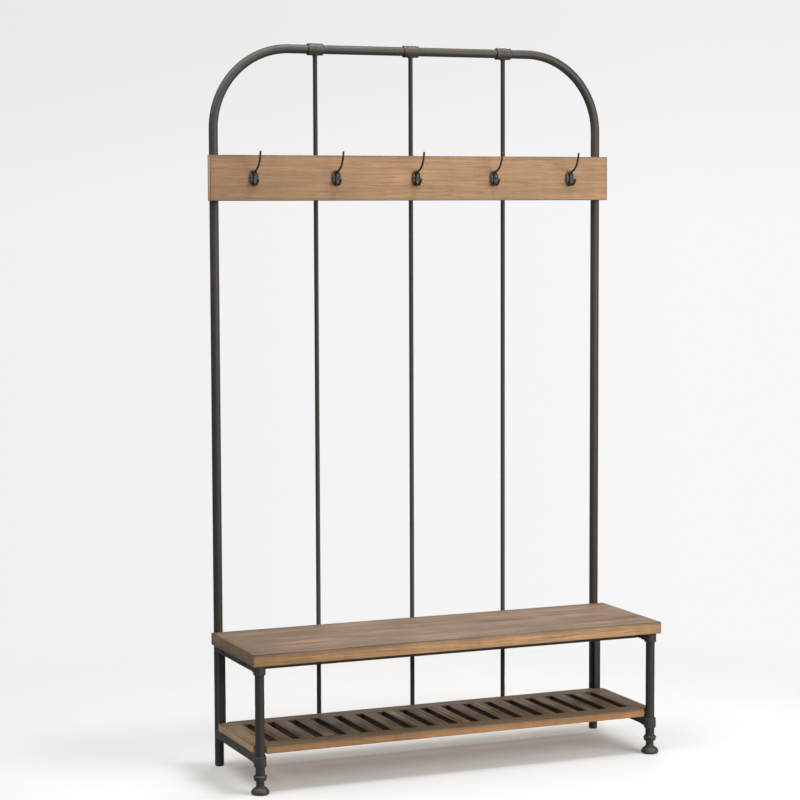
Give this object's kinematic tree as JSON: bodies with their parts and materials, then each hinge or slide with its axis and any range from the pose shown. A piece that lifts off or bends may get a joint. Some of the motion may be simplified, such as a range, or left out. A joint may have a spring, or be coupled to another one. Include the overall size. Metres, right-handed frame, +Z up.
{
  "type": "entryway bench",
  "caption": "Entryway bench with a bent tube back carrying a hook board, a plank seat, a slatted shoe shelf and turned cast feet.",
  "frame": {"origin": "on the floor, under the middle of the object's bounding box", "axes": "+X to the right of a viewer who faces the bench, +Y towards the back, +Z up"},
  "size_m": [1.24, 0.394, 2.034],
  "materials": {
    "frame_steel": "matte dark bronze powder coat",
    "cast_iron": "matte, fine sand-cast grain",
    "seat_wood": "weathered taupe stain, satin",
    "shelf_wood": "weathered brown stain, satin",
    "board_wood": "warm honey stain, satin"
  },
  "bodies": {
    "root": {"hoop_tube": "frame_steel", "back_rod_left": "frame_steel", "back_rod_middle": "frame_steel", "back_rod_right": "frame_steel", "rod_sleeve_left": "frame_steel", "rod_sleeve_middle": "frame_steel", "rod_sleeve_right": "frame_steel", "seat_rail_left": "frame_steel", "seat_rail_right": "frame_steel", "seat_rail_front": "frame_steel", "seat_rail_rear": "frame_steel", "shelf_rail_left": "frame_steel", "shelf_rail_right": "frame_steel", "shelf_rail_rear": "frame_steel", "rear_post_left": "frame_steel", "rear_post_right": "frame_steel", "front_leg_left": "frame_steel", "front_leg_right": "frame_steel", "rail_bolt_front_left": "frame_steel", "rail_bolt_front_right": "frame_steel", "rail_bolt_rear_left": "frame_steel", "rail_bolt_rear_right": "frame_steel", "rear_foot_plug_left": "cast_iron", "rear_foot_plug_right": "cast_iron", "coat_hook_1": "cast_iron", "coat_hook_2": "cast_iron", "coat_hook_3": "cast_iron", "coat_hook_4": "cast_iron", "coat_hook_5": "cast_iron", "leg_collar_upper_left": "cast_iron", "leg_collar_upper_right": "cast_iron", "leg_collar_lower_left": "cast_iron", "leg_collar_lower_right": "cast_iron", "leg_coupling_left": "cast_iron", "leg_coupling_right": "cast_iron", "front_foot_left": "cast_iron", "front_foot_right": "cast_iron", "seat_board": "seat_wood", "hook_board": "board_wood", "shelf_stile_front": "shelf_wood", "shelf_stile_rear": "shelf_wood", "shelf_end_left": "shelf_wood", "shelf_end_right": "shelf_wood", "shelf_slat_1": "shelf_wood", "shelf_slat_2": "shelf_wood", "shelf_slat_3": "shelf_wood", "shelf_slat_4": "shelf_wood", "shelf_slat_5": "shelf_wood", "shelf_slat_6": "shelf_wood", "shelf_slat_7": "shelf_wood", "shelf_slat_8": "shelf_wood", "shelf_slat_9": "shelf_wood", "shelf_slat_10": "shelf_wood", "shelf_slat_11": "shelf_wood", "shelf_slat_12": "shelf_wood", "shelf_slat_13": "shelf_wood", "shelf_slat_14": "shelf_wood", "shelf_slat_15": "shelf_wood", "shelf_slat_16": "shelf_wood"}
  },
  "joints": []
}
